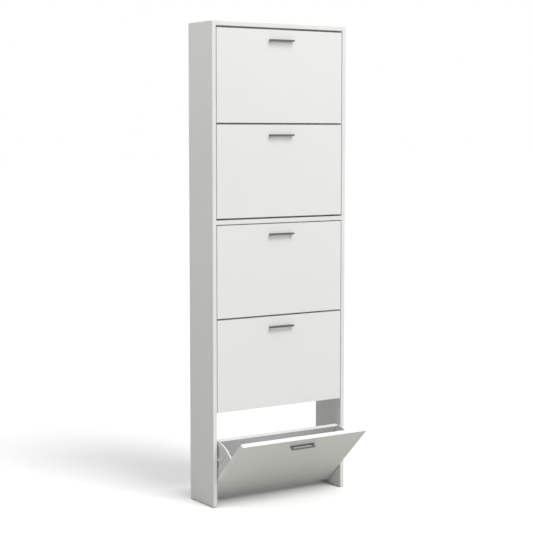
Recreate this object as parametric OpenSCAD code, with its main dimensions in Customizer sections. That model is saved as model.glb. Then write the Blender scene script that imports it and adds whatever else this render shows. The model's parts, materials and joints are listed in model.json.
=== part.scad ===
// Slim shoe cabinet: a carcass of two stacked modules that holds five tip-out flaps.
// Frame: +Z is up and the front faces -Y. The origin is the middle of the front plane, on the floor.

/* [Cabinet] */
// Width over both sides
cabinet_w = 600; // [500:10:700]
// Depth from the front plane to the wall
cabinet_d = 170; // [170:5:200]
// Thickness of the sides, boards, rails and flap panels
board_t = 16; // [15:0.5:17]
// Height of a back rail
rail_h = 80; // [76:2:90]
// Height of the floor glides under the sides
glide_h = 3; // [2:0.5:4]

/* [Flaps] */
// Height of a flap panel
flap_h = 345; // [340:0.5:370]
// Gap between two flap panels, and between a flap panel and the middle board below it
gap_v = 6.5; // [4:0.5:7]
// Gap between the top board and the highest flap panel
gap_top = 7.5; // [4:0.5:9]
// Gap between the middle board and the flap panel below it
gap_under = 3.5; // [3:0.5:6]
// Gap beside a flap panel
gap_side = 3; // [2.5:0.5:3.5]
// Gap between the lowest closed flap and the floor
gap_floor = 6; // [4:0.5:20]
// Tilt of an open flap in degrees
open_angle = 46.5; // [40:0.5:48]
// Flap drawn open, counted from the top; 0 draws them all closed
open_flap = 5; // [0:1:5]

/* [Pivot] */
// Pivot axis behind the front plane
pivot_in = 22; // [22:0.5:24]
// Pivot axis above the lower edge of a flap
pivot_up = 97; // [96:1:104]
// Radius of the pivot pins
pin_r = 4; // [3.5:0.25:4.25]

/* [Tip-out box] */
// Radius of the rounded rim of a bracket about the pivot
rim_r = 148; // [144:1:152]
// Thickness of the back board and the base board
box_board_t = 12; // [11:0.5:14]
// Top edge of the back board above the pivot
back_board_top = 109; // [100:1:112]
// Depth of the raised band along the flap side of a bracket
front_band = 25; // [20:1:28]

/* [Handle] */
// Length of a handle
handle_len = 106; // [90:2:140]
// Distance that a handle stands out
handle_out = 16; // [14:1:22]
// Height of a handle
handle_h = 6; // [6:1:8]
// Middle of the handle below the top edge of its flap
handle_drop = 39; // [30:1:60]

/* [Hidden] */
$fn = 64;

// Flap count and rows
flap_count = 5;
upper_flaps = 2;
flap_pitch = flap_h + gap_v;
middle_z = flap_bottom(upper_flaps + 1) + flap_h + gap_under;
top_z = flap_bottom(1) + flap_h + gap_top;
cabinet_h = top_z + board_t;

// Inner faces of the sides, and the width of a flap between them
side_in = cabinet_w / 2 - board_t;
flap_w = 2 * (side_in - gap_side);

// Edge chamfers, and the radial clearances of fasteners and pivots
edge_c = 0.6;
handle_c = 0.5;
snug = 0.05;
overcut = 1;

// Back rails, from the floor up: name and lower edge
rail_front_y = cabinet_d - board_t;
rail_mid_y = cabinet_d - board_t / 2;
rail_base_z = 60;
rails = [
    ["rail_base", rail_base_z],
    ["rail_low", flap_bottom(3) - (gap_v + rail_h) / 2],
    ["rail_middle", middle_z - rail_h],
    ["rail_high", flap_bottom(1) - (gap_v + rail_h) / 2],
    ["rail_top", top_z - rail_h]
];

// Cam fittings: bolt in a side, lock in the end of a board
cam_bolt_r = 2.5;
cam_bolt_embed = 11;
cam_collar_r = 3.2;
cam_neck_r = 2;
cam_neck_len = 6;
cam_head_len = 4;
cam_bore_r = 4;
cam_in = 34;
cam_lock_r = 7.4;
cam_pocket_r = 7.5;
cam_lock_over = 4.3;
cam_lock_h = board_t / 2 + cam_lock_over;
cam_mouth_r = 3.6;
cam_mouth_end = 2.5;
cam_cover_r = 9;
cam_cover_t = 0.8;
cam_slot = [9, 1.6, 2];
board_bolt_ys = [40, 130];
board_bolt_zs = [top_z + board_t / 2, middle_z + board_t / 2];

// Wooden dowels
dowel_r = 4;
dowel_len = 30;
dowel_embed = 12;
dowel_c = 1;
board_dowel_ys = [65, 105];
rail_dowel_off = 26;
joint_dowel_ys = [20, 150];

// Screws that join the middle board to the rail below it
joint_screw_r = 2.5;
joint_screw_head_r = 4.5;
joint_screw_len = 50;
joint_screw_tip = 4;
joint_screw_slot = [4.5, 1, 1.4];
joint_screw_spread = 0.3;
joint_screw_xs = [for (s = [-1, 0, 1]) s * joint_screw_spread * cabinet_w];

// Wall fixing holes through the top rail
wall_hole_r = 2.75;
wall_hole_xs = [-cabinet_w / 3, cabinet_w / 3];

// Pivot pins and stop pegs, set in the sides
pin_embed = 12;
pin_len = 15.8;
pin_c = 0.8;
collar_r = 7;
collar_t = 1.2;
peg_r = 4;
peg_len = 12.3;
peg_collar_r = 6.5;
peg_orbit = 80;
peg_angle = 60;
peg_y = pivot_in + peg_orbit * cos(peg_angle);
peg_z = peg_orbit * sin(peg_angle);

// Floor glides
glide_r = 7.5;
glide_nail_r = 1.2;
glide_nail_len = 15;
glide_nail_tip = 2;
glide_c = 0.8;
glide_ys = [25, 145];

// Bracket: layers along X, from the outside in
bracket_inset = 0.5;
bracket_x = bracket_inset - flap_w / 2;
band_t = 3;
web_x = bracket_x + band_t;
web_t = 3;
flange_t = 3;
flange_w = 25.5;
boss_gap = 0.5;
boss_x = -side_in + collar_t + boss_gap;
boss_r = 9;
boss_len = 12.3;

// Bracket: outline in the plane of the cheek, seen from the pivot (y back, z up)
inner_y = board_t - pivot_in;
low_z = -85;
toe_y = 78;
heel_z = -58;
back_y = 109;
band_w = 14;
rim_band_w = 16;
recess_step = 4.7;
board_back_y = back_y - flange_t;
board_front_y = board_back_y - box_board_t;
base_low_z = -69;
base_top_z = base_low_z + box_board_t;
box_half_w = -(web_x + web_t) - 2 * snug;
front_flange_z = [-80, 136];
back_flange_z = [-55, 100];
base_flange_y = [2, 88];
flange_corner = 6;

// Bracket: arc slot for the stop peg and the window behind the front band
slot_clear = 0.35;
slot_end = 1.1;
slot_rim_w = 2.5;
slot_rim_t = 1.5;
window_in = 3.5;
window_y = inner_y + front_band + window_in;
window_w = 5.5;
window_z = [66, 120];

// Bracket screws: across, and their places on the three flanges
flange_screw_in = 15.5;
flange_screw_x = web_x + flange_screw_in;
front_screw_zs = [-40, 40, 120];
back_screw_zs = [-30, 80];
base_screw_ys = [20, 70];
wood_screw_r = 1.75;
wood_screw_head_r = 3.5;
wood_screw_head_h = 2.2;
wood_screw_len = 13;
wood_screw_tip = 2;
flange_hole_r = 1.95;
pilot_depth = 10.5;

// Handle: legs, bars and machine screws
handle_leg = 10;
handle_bar = 4;
handle_z = flap_h - pivot_up - handle_drop;
handle_screw_x = (handle_len - handle_leg) / 2;
handle_screw_r = 2;
handle_screw_head_r = 4;
handle_screw_head_h = 2.8;
handle_screw_in = 9;
handle_screw_len = board_t + handle_screw_in;
handle_screw_tip = 0.6;
handle_hole_r = 2.25;
handle_thread_depth = 10;
pan_c = 1.3;
pan_slot_t = 0.9;
pan_slot_depth = 1.3;
tip_scale = 0.4;

// Colours
melamine = [0.93, 0.93, 0.92];
moulding = [0.88, 0.88, 0.86];
dark_metal = [0.30, 0.30, 0.31];
steel = [0.72, 0.73, 0.75];
beech = [0.80, 0.65, 0.44];
glide_grey = [0.45, 0.45, 0.45];

// Node names
carcass_parts = [
    "side_left_upper", "side_right_upper", "side_left_lower", "side_right_lower",
    "top_board", "middle_board", "dowels", "cam_bolts", "cam_locks", "cam_covers",
    "joint_screws", "floor_glides", "pivot_pins", "stop_pegs"
];
flap_parts = [
    "flap_panel", "bracket_left", "bracket_right", "back_board", "base_board",
    "handle", "handle_screws", "bracket_screws"
];

// Heights of the flaps, counted from the top
function flap_bottom(k) =
    gap_floor + (flap_count - k) * flap_pitch + (k <= upper_flaps ? board_t + gap_under : 0);
function pivot_z(k) = flap_bottom(k) + pivot_up;
function flap_tilt(k) = k == open_flap ? open_angle : 0;

// Places (y, z) on the inner face of a side
function bolt_sites() = concat(
    [for (z = board_bolt_zs) for (y = board_bolt_ys) [y, z]],
    [for (r = rails) [rail_mid_y, r[1] + rail_h / 2]]
);
function dowel_sites() = concat(
    [for (z = board_bolt_zs) for (y = board_dowel_ys) [y, z]],
    [for (r = rails) for (s = [-1, 1]) [rail_mid_y, r[1] + rail_h / 2 + s * rail_dowel_off]]
);
function pin_sites() = [for (k = [1:flap_count]) [pivot_in, pivot_z(k)]];
function peg_sites() = [for (k = [1:flap_count]) [peg_y, pivot_z(k) + peg_z]];
function between(sites, z0, z1) = [for (s = sites) if (s[1] > z0 && s[1] < z1) s];
function polar(r, a) = [r * cos(a), r * sin(a)];

// ---------- shared shapes ----------

// Outline of a board with its corners cut at 45 degrees
module cut_rectangle(a, b, c) {
    polygon([[c, 0], [a - c, 0], [a, c], [a, b - c], [a - c, b], [c, b], [0, b - c], [0, c]]);
}

// Board of the given size with all its edges chamfered
module board(size, c = edge_c) {
    intersection() {
        linear_extrude(size[2]) cut_rectangle(size[0], size[1], c);
        translate([0, size[1], 0]) rotate([90, 0, 0])
            linear_extrude(size[1]) cut_rectangle(size[0], size[2], c);
        rotate([90, 0, 90]) linear_extrude(size[0]) cut_rectangle(size[1], size[2], c);
    }
}

// Everything is drawn for the left side; the right side is its mirror image
module on_side(side) {
    if (side > 0) mirror([1, 0, 0]) children();
    else children();
}

module on_both_sides() {
    for (side = [-1, 1]) on_side(side) children();
}

// Children at each (y, z) place on the inner face of the left side
module at_side_face(sites) {
    for (s = sites) translate([-side_in, s[0], s[1]]) children();
}

// Cylinder along +X
module rod_x(x, length, r) {
    translate([x, 0, 0]) rotate([0, 90, 0]) cylinder(h = length, r = r);
}

// Turned piece: a profile of (radius, distance) points, turned about +X
module turned_x(profile) {
    rotate([0, 90, 0]) rotate_extrude() polygon(profile);
}

// Flat shape in the plane of the side (y, z), given a thickness along +X
module layer_x(x, thickness) {
    translate([x, 0, 0]) rotate([90, 0, 90]) linear_extrude(thickness) children();
}

// Blind hole into the inner face of the left side
module side_hole(depth, r) {
    rod_x(-depth, depth + overcut, r);
}

// Cross recess (width, thickness, depth) cut upwards into a face that points down
module cross_recess(slot, face_z = 0) {
    for (a = [0, 90]) rotate([0, 0, a])
        translate([-slot[0] / 2, -slot[1] / 2, face_z - overcut])
            cube([slot[0], slot[1], slot[2] + overcut]);
}

// ---------- carcass ----------

module side_panel(side, z0, z1) {
    color(melamine) on_side(side) difference() {
        translate([-cabinet_w / 2, 0, z0]) board([board_t, cabinet_d, z1 - z0]);
        at_side_face(between(bolt_sites(), z0, z1)) side_hole(cam_bolt_embed + snug, cam_bolt_r + snug);
        at_side_face(between(dowel_sites(), z0, z1)) side_hole(dowel_embed + snug, dowel_r + snug);
        at_side_face(between(pin_sites(), z0, z1)) side_hole(pin_embed + snug, pin_r + snug);
        at_side_face(between(peg_sites(), z0, z1)) side_hole(pin_embed + snug, peg_r + snug);
        at_joint_dowels() dowel(snug);
        at_glides() glide_nail(snug);
    }
}

// Cams of the boards face down, cams of the rails face forward
module at_cams() {
    on_both_sides() {
        for (z = board_bolt_zs) for (y = board_bolt_ys)
            translate([-side_in + cam_in, y, z - board_t / 2]) children();
        for (r = rails)
            translate([-side_in + cam_in, rail_front_y, r[1] + rail_h / 2]) rotate([-90, 0, 0]) children();
    }
}

module cam_pocket() {
    translate([0, 0, -overcut]) cylinder(h = cam_lock_h + 2 * snug + overcut, r = cam_pocket_r);
}

module board_end_holes() {
    on_both_sides() {
        at_side_face(bolt_sites()) rod_x(-overcut, cam_in + overcut, cam_bore_r);
        at_side_face(dowel_sites())
            rod_x(-overcut, dowel_len - dowel_embed + snug + overcut, dowel_r + snug);
    }
    at_cams() cam_pocket();
}

module carcass_board(z) {
    color(melamine) difference() {
        translate([-side_in, 0, z]) board([2 * side_in, cabinet_d, board_t]);
        board_end_holes();
        at_joint_screws() joint_screw_solid(snug);
    }
}

module rail(index) {
    color(melamine) difference() {
        translate([-side_in, rail_front_y, rails[index][1]]) board([2 * side_in, board_t, rail_h]);
        board_end_holes();
        at_joint_screws() joint_screw_solid(snug);
        if (rails[index][0] == "rail_top") wall_holes();
    }
}

module wall_holes() {
    for (x = wall_hole_xs)
        translate([x, cabinet_d + overcut, top_z - rail_h / 2]) rotate([90, 0, 0])
            cylinder(h = board_t + 2 * overcut, r = wall_hole_r);
}

// Dowel along +Z from its middle; grow makes the hole for it
module dowel(grow = 0) {
    half = dowel_len / 2 + grow;
    r = dowel_r + grow;
    rotate_extrude() polygon([
        [0, -half], [r - dowel_c, -half], [r, dowel_c - half],
        [r, half - dowel_c], [r - dowel_c, half], [0, half]
    ]);
}

// The sides of the two modules meet at the height of the middle board
module at_joint_dowels() {
    for (y = joint_dowel_ys) translate([-side_in - board_t / 2, y, middle_z]) children();
}

module dowels() {
    color(beech) on_both_sides() {
        at_side_face(dowel_sites())
            translate([dowel_len / 2 - dowel_embed, 0, 0]) rotate([0, 90, 0]) dowel();
        at_joint_dowels() dowel();
    }
}

module cam_bolts() {
    neck_x = cam_in - cam_head_len;
    collar_x = neck_x - cam_neck_len;
    color(steel) on_both_sides() at_side_face(bolt_sites()) turned_x([
        [0, -cam_bolt_embed], [cam_bolt_r, -cam_bolt_embed], [cam_bolt_r, 0], [cam_collar_r, 0],
        [cam_collar_r, collar_x], [cam_neck_r, collar_x], [cam_neck_r, neck_x], [cam_collar_r, neck_x],
        [cam_collar_r, cam_in], [0, cam_in]
    ]);
}

// The lock is drilled from its rim, so the bolt's head can enter it
module cam_lock() {
    difference() {
        cylinder(h = cam_lock_h, r = cam_lock_r);
        translate([0, 0, board_t / 2])
            rod_x(-cam_lock_r - overcut, cam_lock_r + overcut + cam_mouth_end, cam_mouth_r);
        cross_recess(cam_slot);
    }
}

module cam_locks() {
    color(steel) at_cams() cam_lock();
}

module cam_covers() {
    color(moulding) at_cams() mirror([0, 0, 1])
        cylinder(h = cam_cover_t, r1 = cam_cover_r, r2 = cam_cover_r - cam_cover_t / 2);
}

module at_joint_screws() {
    for (x = joint_screw_xs) translate([x, rail_mid_y, middle_z + board_t]) children();
}

// Countersunk screw pointing down from z = 0; grow makes the hole for it
module joint_screw_solid(grow = 0) {
    r = joint_screw_r + grow;
    head_r = joint_screw_head_r + grow;
    cone_h = joint_screw_head_r - joint_screw_r;
    rotate_extrude() polygon([
        [0, 0], [head_r, 0], [r, -cone_h],
        [r, joint_screw_tip - joint_screw_len - grow], [0, -joint_screw_len - grow]
    ]);
}

module joint_screws() {
    color(steel) at_joint_screws() difference() {
        joint_screw_solid();
        mirror([0, 0, 1]) cross_recess(joint_screw_slot);
    }
}

module at_glides() {
    for (y = glide_ys) translate([-side_in - board_t / 2, y, 0]) children();
}

module glide_nail(grow = 0) {
    r = glide_nail_r + grow;
    rotate_extrude() polygon([
        [0, glide_h - grow], [r, glide_h - grow], [r, glide_h + glide_nail_len - glide_nail_tip],
        [0, glide_h + glide_nail_len + grow]
    ]);
}

module floor_glides() {
    color(glide_grey) on_both_sides() at_glides() {
        rotate_extrude() polygon([
            [0, 0], [glide_r - glide_c, 0], [glide_r, glide_c], [glide_r, glide_h], [0, glide_h]
        ]);
        glide_nail();
    }
}

// Pin or peg in the inner face of a side, with a collar against that face
module side_pin(r, length, big_r) {
    turned_x([
        [0, -pin_embed], [r, -pin_embed], [r, 0], [big_r, 0], [big_r, collar_t], [r, collar_t],
        [r, length - pin_c], [r - pin_c, length], [0, length]
    ]);
}

module pivot_pins() {
    color(steel) on_both_sides() at_side_face(pin_sites()) side_pin(pin_r, pin_len, collar_r);
}

module stop_pegs() {
    color(steel) on_both_sides() at_side_face(peg_sites()) side_pin(peg_r, peg_len, peg_collar_r);
}

// ---------- one flap: drawn closed about its pivot axis, then placed ----------

module in_flap(k) {
    translate([0, pivot_in, pivot_z(k)]) rotate([flap_tilt(k), 0, 0]) children();
}

module at_handle_screws() {
    for (s = [-1, 1]) translate([s * handle_screw_x, inner_y, handle_z]) rotate([90, 0, 0]) children();
}

// Screws of one bracket, each pointing +Z into its board from the face of its flange
module at_bracket_screws() {
    for (z = front_screw_zs)
        translate([flange_screw_x, inner_y + flange_t, z]) rotate([90, 0, 0]) children();
    for (z = back_screw_zs)
        translate([flange_screw_x, back_y, z]) rotate([90, 0, 0]) children();
    for (y = base_screw_ys) translate([flange_screw_x, y, base_low_z - flange_t]) children();
}

module pilot_holes() {
    on_both_sides() at_bracket_screws()
        cylinder(h = flange_t + pilot_depth, r = wood_screw_r + snug);
}

module flap_panel(k) {
    color(melamine) in_flap(k) difference() {
        translate([-flap_w / 2, -pivot_in, -pivot_up]) board([flap_w, board_t, flap_h]);
        pilot_holes();
        at_handle_screws() translate([0, 0, -overcut])
            cylinder(h = board_t + 2 * overcut, r = handle_hole_r);
    }
}

module back_board(k) {
    color(melamine) in_flap(k) difference() {
        translate([-box_half_w, board_front_y, base_low_z])
            board([2 * box_half_w, box_board_t, back_board_top - base_low_z]);
        pilot_holes();
    }
}

module base_board(k) {
    front = inner_y + flange_t;
    color(melamine) in_flap(k) difference() {
        translate([-box_half_w, front, base_low_z])
            board([2 * box_half_w, board_front_y - front, box_board_t]);
        pilot_holes();
    }
}

// Outline of a bracket's cheek: straight at the flap, the base and the back, and round at the rim
module cheek_outline() {
    intersection() {
        circle(r = rim_r);
        polygon([
            [inner_y, low_z], [toe_y, low_z], [back_y, heel_z], [back_y, rim_r], [inner_y, rim_r]
        ]);
    }
}

// The recess that the raised band surrounds
module cheek_recess() {
    intersection() {
        circle(r = rim_r - rim_band_w);
        polygon([
            [inner_y + front_band, low_z + band_w], [toe_y - recess_step, low_z + band_w],
            [back_y - band_w, heel_z + recess_step], [back_y - band_w, rim_r], [inner_y + front_band, rim_r]
        ]);
    }
}

// Slot along a circle about the pivot, from one angle to another, with rounded ends
module arc_slot(half_w) {
    a0 = peg_angle - open_angle;
    far = 2 * peg_orbit;
    intersection() {
        difference() {
            circle(r = peg_orbit + half_w);
            circle(r = peg_orbit - half_w);
        }
        union() {
            polygon([[0, 0], polar(far, a0), polar(far, peg_angle)]);
            for (a = [a0, peg_angle]) translate(polar(peg_orbit, a)) circle(r = slot_end * half_w);
        }
    }
}

module window_slot() {
    r = window_w / 2;
    translate([window_y - r, window_z[0]]) square([window_w, window_z[1] - window_z[0]]);
    for (z = window_z) translate([window_y, z]) circle(r = r);
}

// Flange outline with its two free corners cut
module flange_outline(width, z0, z1) {
    c = flange_corner;
    polygon([[0, z0], [width - c, z0], [width, z0 + c], [width, z1 - c], [width - c, z1], [0, z1]]);
}

module bracket_flanges() {
    upright = [90, 0, 0];
    translate([web_x, inner_y + flange_t, 0]) rotate(upright)
        linear_extrude(flange_t) flange_outline(flange_w, front_flange_z[0], front_flange_z[1]);
    translate([web_x, back_y, 0]) rotate(upright)
        linear_extrude(flange_t) flange_outline(flange_w, back_flange_z[0], back_flange_z[1]);
    translate([web_x, 0, base_low_z - flange_t])
        linear_extrude(flange_t) flange_outline(flange_w, base_flange_y[0], base_flange_y[1]);
}

module bracket_boss() {
    intersection() {
        rod_x(boss_x, boss_len, boss_r);
        translate([boss_x - overcut, inner_y, -boss_r])
            cube([boss_len + 2 * overcut, 2 * boss_r, 2 * boss_r]);
    }
}

module bracket(side, k) {
    slot_half = peg_r + slot_clear;
    cut_x = bracket_x - overcut;
    cut_t = band_t + web_t + 2 * overcut;
    color(moulding) in_flap(k) on_side(side) difference() {
        union() {
            layer_x(web_x, web_t) cheek_outline();
            layer_x(bracket_x, band_t) difference() {
                cheek_outline();
                cheek_recess();
            }
            layer_x(web_x - slot_rim_t, slot_rim_t) arc_slot(slot_half + slot_rim_w);
            bracket_flanges();
            bracket_boss();
        }
        rod_x(boss_x - overcut, boss_len + 2 * flange_t, pin_r + snug);
        layer_x(cut_x, cut_t) arc_slot(slot_half);
        layer_x(cut_x, cut_t) window_slot();
        at_bracket_screws() translate([0, 0, -overcut])
            cylinder(h = flange_t + 2 * overcut, r = flange_hole_r);
    }
}

// Rectangular ring that stands out from the flap: back rail, two legs and front bar
module handle(k) {
    color(dark_metal) in_flap(k)
        translate([-handle_len / 2, -pivot_in - handle_out, handle_z - handle_h / 2]) difference() {
            board([handle_len, handle_out, handle_h], handle_c);
            translate([handle_leg, handle_bar, -overcut])
                cube([handle_len - 2 * handle_leg, handle_out - 2 * handle_bar, handle_h + 2 * overcut]);
            for (x = [handle_leg / 2, handle_len - handle_leg / 2])
                translate([x, handle_out + overcut, handle_h / 2]) rotate([90, 0, 0])
                    cylinder(h = handle_thread_depth + overcut, r = handle_screw_r + snug);
        }
}

// Pan-head screw pointing +Z, with its head below z = 0
module pan_screw(r, length, head_r, head_h, tip) {
    difference() {
        rotate_extrude() polygon([
            [0, -head_h], [head_r - pan_c, -head_h], [head_r, pan_c - head_h], [head_r, 0], [r, 0],
            [r, length - tip], [r * tip_scale, length], [0, length]
        ]);
        cross_recess([head_r, pan_slot_t, pan_slot_depth], -head_h);
    }
}

module handle_screws(k) {
    color(steel) in_flap(k) at_handle_screws()
        pan_screw(
            handle_screw_r, handle_screw_len, handle_screw_head_r, handle_screw_head_h, handle_screw_tip
        );
}

module bracket_screws(k) {
    color(steel) in_flap(k) on_both_sides() at_bracket_screws()
        pan_screw(wood_screw_r, wood_screw_len, wood_screw_head_r, wood_screw_head_h, wood_screw_tip);
}

// ---------- nodes ----------

side_panel(-1, middle_z, cabinet_h);  // side_left_upper
side_panel(1, middle_z, cabinet_h);  // side_right_upper
side_panel(-1, glide_h, middle_z);  // side_left_lower
side_panel(1, glide_h, middle_z);  // side_right_lower
carcass_board(top_z);  // top_board
carcass_board(middle_z);  // middle_board
dowels();
cam_bolts();
cam_locks();
cam_covers();
joint_screws();
floor_glides();
pivot_pins();
stop_pegs();
for (i = [0:len(rails) - 1]) {
    rail(i);
}
for (k = [1:flap_count]) {
    flap_panel(k);
    bracket(-1, k);
    bracket(1, k);
    back_board(k);
    base_board(k);
    handle(k);
    handle_screws(k);
    bracket_screws(k);
}
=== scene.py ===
import json
import math

import bmesh
import bpy
from mathutils import Matrix, Vector


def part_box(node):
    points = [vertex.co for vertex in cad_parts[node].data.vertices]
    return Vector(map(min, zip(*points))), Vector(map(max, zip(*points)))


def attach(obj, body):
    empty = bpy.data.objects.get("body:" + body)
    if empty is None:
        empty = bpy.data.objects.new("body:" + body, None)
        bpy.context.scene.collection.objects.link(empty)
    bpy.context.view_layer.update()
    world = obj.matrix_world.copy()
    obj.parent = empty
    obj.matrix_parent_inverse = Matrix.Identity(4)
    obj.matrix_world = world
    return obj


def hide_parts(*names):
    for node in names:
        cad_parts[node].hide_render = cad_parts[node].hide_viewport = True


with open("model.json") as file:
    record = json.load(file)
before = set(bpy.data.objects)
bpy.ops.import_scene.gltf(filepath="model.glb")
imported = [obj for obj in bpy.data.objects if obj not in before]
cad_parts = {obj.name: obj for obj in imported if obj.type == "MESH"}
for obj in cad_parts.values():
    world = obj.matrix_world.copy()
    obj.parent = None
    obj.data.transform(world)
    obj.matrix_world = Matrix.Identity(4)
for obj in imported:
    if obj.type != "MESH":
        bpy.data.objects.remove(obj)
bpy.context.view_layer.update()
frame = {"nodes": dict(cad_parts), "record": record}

record = frame["record"]
nodes = frame["nodes"]
MM = 0.001

# ---------------------------------------------------------------- the frame: what the record says

joint_of = {j["child"]: j for j in record["behaviour"]["joints"]}
FLAPS = range(1, len(joint_of) + 1)


def flap_tilt(k):
    """How far flap k is already open in the stored pose, in radians."""
    return math.radians(-joint_of[f"flap_{k}"]["range_deg"][0])


def flap_matrix(k):
    """Takes a point of the shut flap, measured from its pivot, to the row frame."""
    pivot = Vector(joint_of[f"flap_{k}"]["pos_m"])
    return Matrix.Translation(pivot) @ Matrix.Rotation(flap_tilt(k), 4, "X")


def new_object(name, data):
    """A new object, linked to the scene."""
    made = bpy.data.objects.new(name, data)
    bpy.context.scene.collection.objects.link(made)
    return made


# ---------------------------------------------------------------- materials

# How square to its thin axis a board's surface is where it counts as edge band, and where it counts as face
BAND_BELOW, FACE_ABOVE = 0.55, 0.85
# Darkest tone of a board's face, and darkest and lightest of its edge band, as shares of the board's own tone
FACE_DARK, BAND_DARK, BAND_LIGHT = 0.975, 0.985, 1.015
# Height of the smooth edge band within the pearl grain's 0 to 1
BAND_LEVEL = 0.5
# Darkest tone of moulded plastic, as a share of its own tone
MOULDED_DARK = 0.96


class Nodes:
    """Builds one material's node tree. Noise scales are features per metre of unstretched coordinates."""

    def __init__(self, name):
        self.material = bpy.data.materials.new(name)
        self.material.use_nodes = True
        self.tree = self.material.node_tree
        self.shader = self.tree.nodes["Principled BSDF"]
        coordinates = self.add("ShaderNodeTexCoord")
        self.at = coordinates.outputs["Object"]
        self.normal = coordinates.outputs["Normal"]

    def add(self, kind, **settings):
        """A node of a kind, with its settings."""
        node = self.tree.nodes.new(kind)
        for key, value in settings.items():
            setattr(node, key, value)
        return node

    def link(self, out, to):
        """Links an output to an input."""
        self.tree.links.new(out, to)

    def stretched(self, scale, turn=0.0):
        """Object coordinates turned back by the flap's tilt, then scaled along each axis."""
        mapping = self.add("ShaderNodeMapping", vector_type="POINT")
        mapping.inputs["Rotation"].default_value = (-turn, 0, 0)
        self.link(self.at, mapping.inputs["Vector"])
        scaled = self.add("ShaderNodeVectorMath", operation="MULTIPLY")
        scaled.inputs[1].default_value = scale
        self.link(mapping.outputs["Vector"], scaled.inputs[0])
        return scaled.outputs[0]

    def noise(self, vector, scale, detail=2.0, roughness=0.5):
        """Noise from 0 to 1."""
        noise = self.add("ShaderNodeTexNoise")
        noise.inputs["Scale"].default_value = scale
        noise.inputs["Detail"].default_value = detail
        noise.inputs["Roughness"].default_value = roughness
        self.link(vector, noise.inputs["Vector"])
        return noise.outputs["Fac"]

    def ramp(self, fac, stops):
        """Colour ramp from two or more (place, colour) stops."""
        ramp = self.add("ShaderNodeValToRGB")
        for place, _ in stops[len(ramp.color_ramp.elements):]:
            ramp.color_ramp.elements.new(place)
        for element, (place, colour) in zip(ramp.color_ramp.elements, stops):
            element.position = place
            element.color = (*colour, 1)
        self.link(fac, ramp.inputs["Fac"])
        return ramp.outputs["Color"]

    def two_tone(self, fac, low, high, margin=0.3):
        """Colour that goes from low to high, and is even within the margin at either end of fac."""
        return self.ramp(fac, [(margin, low), (1 - margin, high)])

    def between(self, fac, low, high):
        """Maps a 0..1 value to low..high."""
        spread = self.add("ShaderNodeMapRange")
        spread.inputs["To Min"].default_value = low
        spread.inputs["To Max"].default_value = high
        self.link(fac, spread.inputs["Value"])
        return spread.outputs["Result"]

    def facing(self, axis):
        """1 on the faces square to the axis, 0 on the others."""
        dot = self.add("ShaderNodeVectorMath", operation="DOT_PRODUCT")
        dot.inputs[1].default_value = axis
        self.link(self.normal, dot.inputs[0])
        size = self.add("ShaderNodeMath", operation="ABSOLUTE")
        self.link(dot.outputs["Value"], size.inputs[0])
        step = self.add("ShaderNodeMapRange")
        step.inputs["From Min"].default_value = BAND_BELOW
        step.inputs["From Max"].default_value = FACE_ABOVE
        self.link(size.outputs[0], step.inputs["Value"])
        return step.outputs["Result"]

    def blend(self, kind, fac, first, second):
        """First where fac is 0 and second where it is 1. The kind is Float or Color."""
        mix = self.add("ShaderNodeMix", data_type={"Float": "FLOAT", "Color": "RGBA"}[kind])
        into = {socket.identifier: socket for socket in mix.inputs}
        self.link(fac, into["Factor_Float"])
        for key, value in ((f"A_{kind}", first), (f"B_{kind}", second)):
            if isinstance(value, float):
                into[key].default_value = value
            else:
                self.link(value, into[key])
        return {socket.identifier: socket for socket in mix.outputs}[f"Result_{kind}"]

    def bump(self, height, strength, distance):
        """Bumps the surface; distance is in metres."""
        bump = self.add("ShaderNodeBump")
        bump.inputs["Strength"].default_value = strength
        bump.inputs["Distance"].default_value = distance
        self.link(height, bump.inputs["Height"])
        self.link(bump.outputs["Normal"], self.shader.inputs["Normal"])

    def finish(self, colour, roughness, metallic=0.0):
        """Links the colour and the roughness, and gives the material."""
        self.link(colour, self.shader.inputs["Base Color"])
        self.link(roughness, self.shader.inputs["Roughness"])
        self.shader.inputs["Metallic"].default_value = metallic
        return self.material


def tone(value, warmth=0.0):
    """A near-neutral colour; warmth above 0 is yellower, below 0 bluer."""
    return (value * (1 + warmth), value, value * (1 - warmth))


def melamine(name, value, thin, turn=0.0):
    """White melamine board: a slow drift of tone and a pearl grain on its faces, and a smoother edge band.

    thin is the axis across the board's thickness, and turn the tilt that the board is drawn at.
    """
    m = Nodes(name)
    plain = m.stretched((1, 1, 1), turn)
    drift = m.noise(plain, scale=2.2, detail=3)
    pearl = m.noise(plain, scale=420, detail=2, roughness=0.55)
    patches = m.noise(plain, scale=9)
    face = m.facing(Matrix.Rotation(turn, 3, "X") @ Vector(thin))
    face_dark, face_light = tone(value * FACE_DARK, warmth=0.003), tone(value, warmth=0.001)
    face_tone = m.two_tone(drift, face_dark, face_light, margin=0.25)
    band_dark, band_light = tone(value * BAND_DARK, warmth=0.004), tone(value * BAND_LIGHT, warmth=0.002)
    band_tone = m.two_tone(patches, band_dark, band_light)
    face_rough = m.between(m.noise(plain, scale=60, detail=3), low=0.38, high=0.5)
    band_rough = m.between(m.noise(plain, scale=160), low=0.28, high=0.36)
    m.bump(m.blend("Float", face, BAND_LEVEL, pearl), strength=0.12, distance=0.6 * MM)
    colour = m.blend("Color", face, band_tone, face_tone)
    return m.finish(colour, m.blend("Float", face, band_rough, face_rough))


def moulded(name, value, warmth):
    """Injection-moulded plastic: an even colour with an eroded grain."""
    m = Nodes(name)
    plain = m.stretched((1, 1, 1))
    grain = m.noise(plain, scale=900, detail=3, roughness=0.6)
    flow = m.noise(plain, scale=18, detail=3)
    colour = m.two_tone(flow, tone(value * MOULDED_DARK, warmth), tone(value, warmth))
    m.bump(grain, strength=0.2, distance=0.4 * MM)
    return m.finish(colour, m.between(grain, low=0.45, high=0.62))


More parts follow.
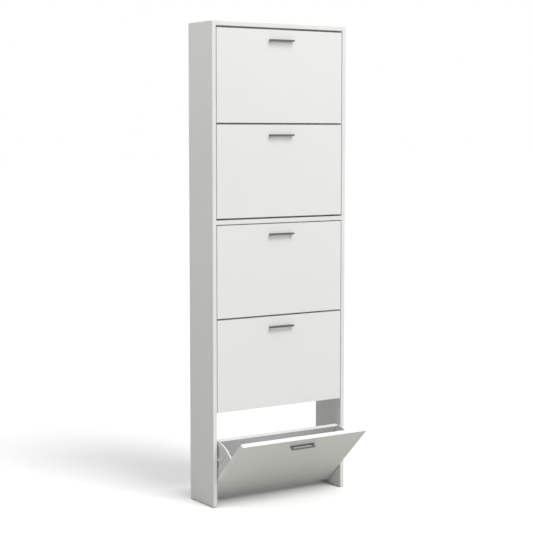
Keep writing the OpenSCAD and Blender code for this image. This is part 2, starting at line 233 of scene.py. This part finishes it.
def metal(name, dark, light, rough, stretch, metallic=1.0):
    """Metal with fine marks and a slow change of tone. rough is the range of its roughness.

    stretch gives the marks per metre along each axis. metallic is below 1 on painted metal.
    """
    m = Nodes(name)
    lines = m.noise(m.stretched(stretch), scale=1.0, detail=4, roughness=0.65)
    cloud = m.noise(m.stretched((1, 1, 1)), scale=35, detail=3)
    m.bump(lines, strength=0.15, distance=0.2 * MM)
    return m.finish(m.two_tone(cloud, dark, light), m.between(lines, *rough), metallic)


def beech(name):
    """Plain beech: long grain along X with short dark flecks."""
    m = Nodes(name)
    grain = m.noise(m.stretched((60, 900, 900)), scale=1.0, detail=4, roughness=0.6)
    fleck, wood, light_wood = (0.50, 0.33, 0.18), (0.66, 0.47, 0.28), (0.74, 0.56, 0.36)
    colour = m.ramp(grain, [(0.35, fleck), (0.55, wood), (0.8, light_wood)])
    m.bump(grain, strength=0.3, distance=0.4 * MM)
    return m.finish(colour, m.between(grain, low=0.55, high=0.75))


ALONG_X, ALONG_Y, ALONG_Z = (1, 0, 0), (0, 1, 0), (0, 0, 1)
# Base tone of the carcass boards, of the shoe boxes and rails, and of the flap panels. The boxes and rails
# are the same white melamine; their lower tone is painted shade, for the dark inside seen through the gaps
BOARD_VALUE, SHADED_BOX_VALUE, FRONT_VALUE = 0.88, 0.76, 0.90

SIDE = melamine("melamine_side", BOARD_VALUE, ALONG_X)
SHELF = melamine("melamine_shelf", BOARD_VALUE, ALONG_Z)
# Rails, back boards and base boards take the darker tone: painted shade of the cabinet's inside
RAIL = melamine("melamine_rail_painted_shade", SHADED_BOX_VALUE, ALONG_Y)
BASE = melamine("melamine_base_painted_shade", SHADED_BOX_VALUE, ALONG_Z)
FRONT = melamine("melamine_front", FRONT_VALUE, ALONG_Y)
MOULDING = moulded("bracket_plastic", value=0.74, warmth=0.006)
CAP = moulded("cap_plastic", value=0.84, warmth=0.004)
GLIDE = moulded("glide_plastic", value=0.22, warmth=0.0)
HANDLE = metal(
    "handle_metal",
    dark=(0.15, 0.15, 0.152),
    light=(0.175, 0.175, 0.178),
    rough=(0.34, 0.46),
    stretch=(90, 2400, 2400),
    metallic=0.15,
)
STEEL = metal(
    "zinc_plated_steel",
    dark=(0.52, 0.53, 0.55),
    light=(0.62, 0.62, 0.62),
    rough=(0.25, 0.42),
    stretch=(700, 700, 700),
)
ZINC = metal(
    "die_cast_zinc",
    dark=(0.42, 0.42, 0.43),
    light=(0.52, 0.52, 0.53),
    rough=(0.42, 0.6),
    stretch=(500, 500, 500),
)
DOWEL = beech("beech_dowel")

# Material of each kind of node, by how the node's name starts; the first that fits counts
MATERIAL_OF_KIND = {
    "side_": SIDE, "top_board": SHELF, "middle_board": SHELF, "rail_": RAIL,
    "flap_panel": FRONT, "back_board": RAIL, "base_board": BASE,
    "bracket_left": MOULDING, "bracket_right": MOULDING, "handle_screws": STEEL, "handle_": HANDLE,
    "dowels": DOWEL, "cam_bolts": STEEL, "cam_locks": ZINC, "cam_covers": CAP, "joint_screws": STEEL,
    "bracket_screws": STEEL, "pivot_pins": STEEL, "stop_pegs": STEEL, "floor_glides": GLIDE,
}
# Boards of an open flap, drawn tilted: the last word of the material's name, the tone and the thin axis
OPEN_BOARDS = {
    "flap_panel": ("panel", FRONT_VALUE, ALONG_Y),
    # The back and base boards of an open flap take the darker tone too: painted shade
    "back_board": ("back", SHADED_BOX_VALUE, ALONG_Y),
    "base_board": ("base", SHADED_BOX_VALUE, ALONG_Z),
}


def first_match(table, name, otherwise=None):
    """The value of the first key that the name starts with."""
    return next((value for key, value in table.items() if name.startswith(key)), otherwise)


material_of = {name: first_match(MATERIAL_OF_KIND, name) for name in nodes}
for k in FLAPS:
    if flap_tilt(k):
        for board, (word, value, thin) in OPEN_BOARDS.items():
            material_of[f"{board}_{k}"] = melamine(f"melamine_open_{k}_{word}", value, thin, flap_tilt(k))

# ---------------------------------------------------------------- surfaces: rounded edges and smooth shading

# Edges bent more than this are sharp, and faces bent less than this are joined into one
SMOOTH_ANGLE, FLAT_ANGLE = math.radians(50), math.radians(0.3)
WELD_DISTANCE = 0.001 * MM
ROUNDING_SEGMENTS = 2
# Radius of the rounded edges of a CAD node, by how its name starts
ROUNDING = {
    "bracket_left": 0.5 * MM, "bracket_right": 0.5 * MM,
    "handle_screws": 0.3 * MM, "bracket_screws": 0.25 * MM, "cam_covers": 0.2 * MM,
}


def smooth_group():
    """Geometry nodes that shade a mesh smooth, except across its sharp edges."""
    group = bpy.data.node_groups.new("smooth_by_angle", "GeometryNodeTree")
    group.interface.new_socket("Geometry", in_out="INPUT", socket_type="NodeSocketGeometry")
    group.interface.new_socket("Geometry", in_out="OUTPUT", socket_type="NodeSocketGeometry")
    start = group.nodes.new("NodeGroupInput")
    end = group.nodes.new("NodeGroupOutput")
    faces = group.nodes.new("GeometryNodeSetShadeSmooth")
    edges = group.nodes.new("GeometryNodeSetShadeSmooth")
    edges.domain = "EDGE"
    edges.inputs["Shade Smooth"].default_value = False
    angle = group.nodes.new("GeometryNodeInputMeshEdgeAngle")
    sharp = group.nodes.new("FunctionNodeCompare")
    sharp.inputs["B"].default_value = SMOOTH_ANGLE
    group.links.new(start.outputs[0], faces.inputs["Geometry"])
    group.links.new(faces.outputs[0], edges.inputs["Geometry"])
    group.links.new(angle.outputs["Unsigned Angle"], sharp.inputs["A"])
    group.links.new(sharp.outputs["Result"], edges.inputs["Selection"])
    group.links.new(edges.outputs[0], end.inputs[0])
    return group


SMOOTH = smooth_group()


def surface(piece, rounding=0.0):
    """Joins a piece's flat faces, rounds its sharp edges and shades it."""
    weld = piece.modifiers.new("weld", "WELD")
    weld.merge_threshold = WELD_DISTANCE
    flat = piece.modifiers.new("flat_faces", "DECIMATE")
    flat.decimate_type = "DISSOLVE"
    flat.angle_limit = FLAT_ANGLE
    if rounding:
        bevel = piece.modifiers.new("rounding", "BEVEL")
        bevel.width = rounding
        bevel.segments = ROUNDING_SEGMENTS
        bevel.limit_method = "ANGLE"
        bevel.angle_limit = SMOOTH_ANGLE
    shade = piece.modifiers.new("smooth", "NODES")
    shade.node_group = SMOOTH
    normals = piece.modifiers.new("normals", "WEIGHTED_NORMAL")
    normals.keep_sharp = True


for name, node in nodes.items():
    node.data.materials.clear()
    node.data.materials.append(material_of[name])
    surface(node, first_match(ROUNDING, name, otherwise=0.0))

# ---------------------------------------------------------------- handles: a flat ring with rounded corners

# Width of a handle's two legs, and thickness of its front bar and of its back bar
HANDLE_LEG, HANDLE_BAR = 10 * MM, 4 * MM
# Radii of its outer corners in front and behind, of its inner corners, and of its edges
HANDLE_FRONT_R, HANDLE_BACK_R, HANDLE_INNER_R = 1.6 * MM, 0.8 * MM, 1.4 * MM
HANDLE_ROUNDING = 0.7 * MM
CORNER_STEPS = 6


def rounded_loop(low, high, front_r, back_r):
    """Points of a rectangle with rounded corners, the same number whatever the radii."""
    (x0, y0), (x1, y1) = low, high
    # Centre, radius and first angle of each corner's arc
    corners = [
        (x0 + front_r, y0 + front_r, front_r, 180), (x1 - front_r, y0 + front_r, front_r, 270),
        (x1 - back_r, y1 - back_r, back_r, 0), (x0 + back_r, y1 - back_r, back_r, 90),
    ]
    points = []
    for x, y, r, start in corners:
        for i in range(CORNER_STEPS + 1):
            a = math.radians(start + 90 * i / CORNER_STEPS)
            points.append((x + r * math.cos(a), y + r * math.sin(a)))
    return points


def handle_ring(k):
    """The handle of flap k, inside its CAD solid's box, standing out from the panel.

    Every handle is alike, so its box comes from flap 1, which is shut in the stored pose.
    """
    first = Vector(joint_of["flap_1"]["pos_m"])
    low, high = (Vector(corner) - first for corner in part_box("handle_1"))
    inset = Vector((HANDLE_LEG, HANDLE_BAR))
    outer = rounded_loop(low.xy, high.xy, HANDLE_FRONT_R, HANDLE_BACK_R)
    inner = rounded_loop(low.xy + inset, high.xy - inset, HANDLE_INNER_R, HANDLE_INNER_R)
    mesh = bpy.data.meshes.new(f"handle_ring_{k}")
    shape = bmesh.new()
    levels = (low.z, high.z)
    outer_low, outer_high = ([shape.verts.new((x, y, z)) for x, y in outer] for z in levels)
    inner_low, inner_high = ([shape.verts.new((x, y, z)) for x, y in inner] for z in levels)
    around = [outer_low, outer_high, inner_high, inner_low]
    count = len(outer)
    for i in range(count):
        j = (i + 1) % count
        for a, b in zip(around, around[1:] + around[:1]):
            shape.faces.new((a[i], a[j], b[j], b[i]))
    shape.transform(flap_matrix(k))
    shape.to_mesh(mesh)
    shape.free()
    mesh.materials.append(HANDLE)
    ring = new_object(f"handle_ring_{k}", mesh)
    surface(ring, HANDLE_ROUNDING)
    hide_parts(f"handle_{k}")
    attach(ring, f"flap_{k}")


for k in FLAPS:
    handle_ring(k)

# ---------------------------------------------------------------- floor and backdrop

# Half of the floor's side
FLOOR_HALF = 60.0
# The floor's colour in the light that it gives back to the cabinet, and as the camera sees it
FLOOR_BOUNCE, FLOOR_SHOWN = (0.525, 0.53, 0.495), (1.09, 1.09, 1.09)
# Strength of the white backdrop that the camera sees
BACKDROP = 1.0
# Broad lights at infinity: the direction that each comes from, how narrow it is, and its strength
LOBES = [((0, 0, 1), 2.0, 1.14), ((0, -1, 0.6), 4.0, 0.5)]


def seen_mix(tree, hidden, seen):
    """Shader that the camera sees as seen, and that lights the scene as hidden."""
    ray = tree.nodes.new("ShaderNodeLightPath").outputs["Is Camera Ray"]
    mix = tree.nodes.new("ShaderNodeMixShader")
    tree.links.new(ray, mix.inputs[0])
    tree.links.new(hidden, mix.inputs[1])
    tree.links.new(seen, mix.inputs[2])
    return mix.outputs[0]


def stage_floor():
    """Pale floor. It shows near white, and gives back less light than it shows."""
    mesh = bpy.data.meshes.new("floor")
    half = FLOOR_HALF
    corners = [(-half, -half, 0), (half, -half, 0), (half, half, 0), (-half, half, 0)]
    mesh.from_pydata(corners, [], [(0, 1, 2, 3)])
    floor = new_object("floor", mesh)
    material = bpy.data.materials.new("floor_pale")
    material.use_nodes = True
    tree = material.node_tree
    tree.nodes.clear()
    shades = []
    for colour in (FLOOR_BOUNCE, FLOOR_SHOWN):
        diffuse = tree.nodes.new("ShaderNodeBsdfDiffuse")
        diffuse.inputs["Color"].default_value = (*colour, 1)
        shades.append(diffuse.outputs[0])
    out = tree.nodes.new("ShaderNodeOutputMaterial")
    tree.links.new(seen_mix(tree, *shades), out.inputs["Surface"])
    mesh.materials.append(material)


def studio_world():
    """Broad soft lights at infinity, one lobe for each, and a white backdrop for the camera."""
    world = bpy.data.worlds.new("studio")
    world.use_nodes = True
    tree = world.node_tree
    tree.nodes.clear()
    direction = tree.nodes.new("ShaderNodeTexCoord").outputs["Generated"]

    def math_node(operation, first, second):
        """The output of a math node on two values, each a number or an output."""
        node = tree.nodes.new("ShaderNodeMath")
        node.operation = operation
        for socket, value in zip(node.inputs, (first, second)):
            if isinstance(value, float):
                socket.default_value = value
            else:
                tree.links.new(value, socket)
        return node.outputs[0]

    total = 0.0
    for towards, narrowness, strength in LOBES:
        dot = tree.nodes.new("ShaderNodeVectorMath")
        dot.operation = "DOT_PRODUCT"
        dot.inputs[1].default_value = Vector(towards).normalized()
        tree.links.new(direction, dot.inputs[0])
        lobe = math_node("POWER", math_node("MAXIMUM", dot.outputs["Value"], 0.0), narrowness)
        total = math_node("ADD", math_node("MULTIPLY", lobe, strength), total)
    backgrounds = []
    for strength in (total, BACKDROP):
        background = tree.nodes.new("ShaderNodeBackground")
        if isinstance(strength, float):
            background.inputs["Strength"].default_value = strength
        else:
            tree.links.new(strength, background.inputs["Strength"])
        background.inputs["Color"].default_value = (1, 1, 1, 1)
        backgrounds.append(background.outputs[0])
    out = tree.nodes.new("ShaderNodeOutputWorld")
    tree.links.new(seen_mix(tree, *backgrounds), out.inputs["Surface"])
    bpy.context.scene.world = world


stage_floor()
studio_world()

# ---------------------------------------------------------------- lights


def aim(light, direction):
    """Turns a light to shine along a direction."""
    light.rotation_mode = "QUATERNION"
    light.rotation_quaternion = direction.to_track_quat("-Z", "Y")


def sun(name, came_from, strength, spread):
    """A soft distant light; spread is its width in the sky, in degrees."""
    data = bpy.data.lights.new(name, "SUN")
    data.energy = strength
    data.angle = math.radians(spread)
    aim(new_object(name, data), -Vector(came_from))


def area(name, place, target, size, power):
    """A square soft box that the camera doesn't see; power is in watts."""
    data = bpy.data.lights.new(name, "AREA")
    data.energy = power
    data.size = size
    light = new_object(name, data)
    light.location = place
    light.visible_camera = False
    aim(light, Vector(target) - Vector(place))


sun("key", came_from=(0.25, -1, 1.2), strength=1.25, spread=30)
area("left_high", place=(-1.6, 0.3, 2.6), target=(-0.3, 0.1, 1.35), size=0.8, power=6.6)
area("left_front", place=(-1.9, -0.7, 1.3), target=(-0.3, -0.1, 0.6), size=1.0, power=1.9)
area("front_high", place=(0.8, -1.8, 2.6), target=(0, 0, 1.2), size=1.0, power=10.0)

# ---------------------------------------------------------------- camera

CAMERA_PLACE = (-3.048, -4.5518, 1.397)
# Turn to the right of straight back, and tilt downwards, in degrees
CAMERA_YAW, CAMERA_PITCH = 33.245, 5.282
# Focal length and sensor width in millimetres
CAMERA_LENS, SENSOR_WIDTH = 98.125, 36.0
# Farthest distance that the camera shows
CLIP_END = 100.0


def set_camera():
    """The photo's viewpoint: left of the cabinet, a little above its middle."""
    data = bpy.data.cameras.new("camera")
    data.sensor_fit = "HORIZONTAL"
    data.sensor_width = SENSOR_WIDTH
    data.lens = CAMERA_LENS
    data.clip_end = CLIP_END
    camera = new_object("camera", data)
    yaw, pitch = math.radians(CAMERA_YAW), math.radians(CAMERA_PITCH)
    forward = Vector((math.sin(yaw) * math.cos(pitch), math.cos(yaw) * math.cos(pitch), -math.sin(pitch)))
    right = Vector((math.cos(yaw), -math.sin(yaw), 0))
    up = right.cross(forward)
    turn = Matrix((right, up, -forward)).transposed().to_4x4()
    camera.matrix_world = Matrix.Translation(CAMERA_PLACE) @ turn
    bpy.context.scene.camera = camera


set_camera()
bpy.context.scene.view_settings.view_transform = "Standard"
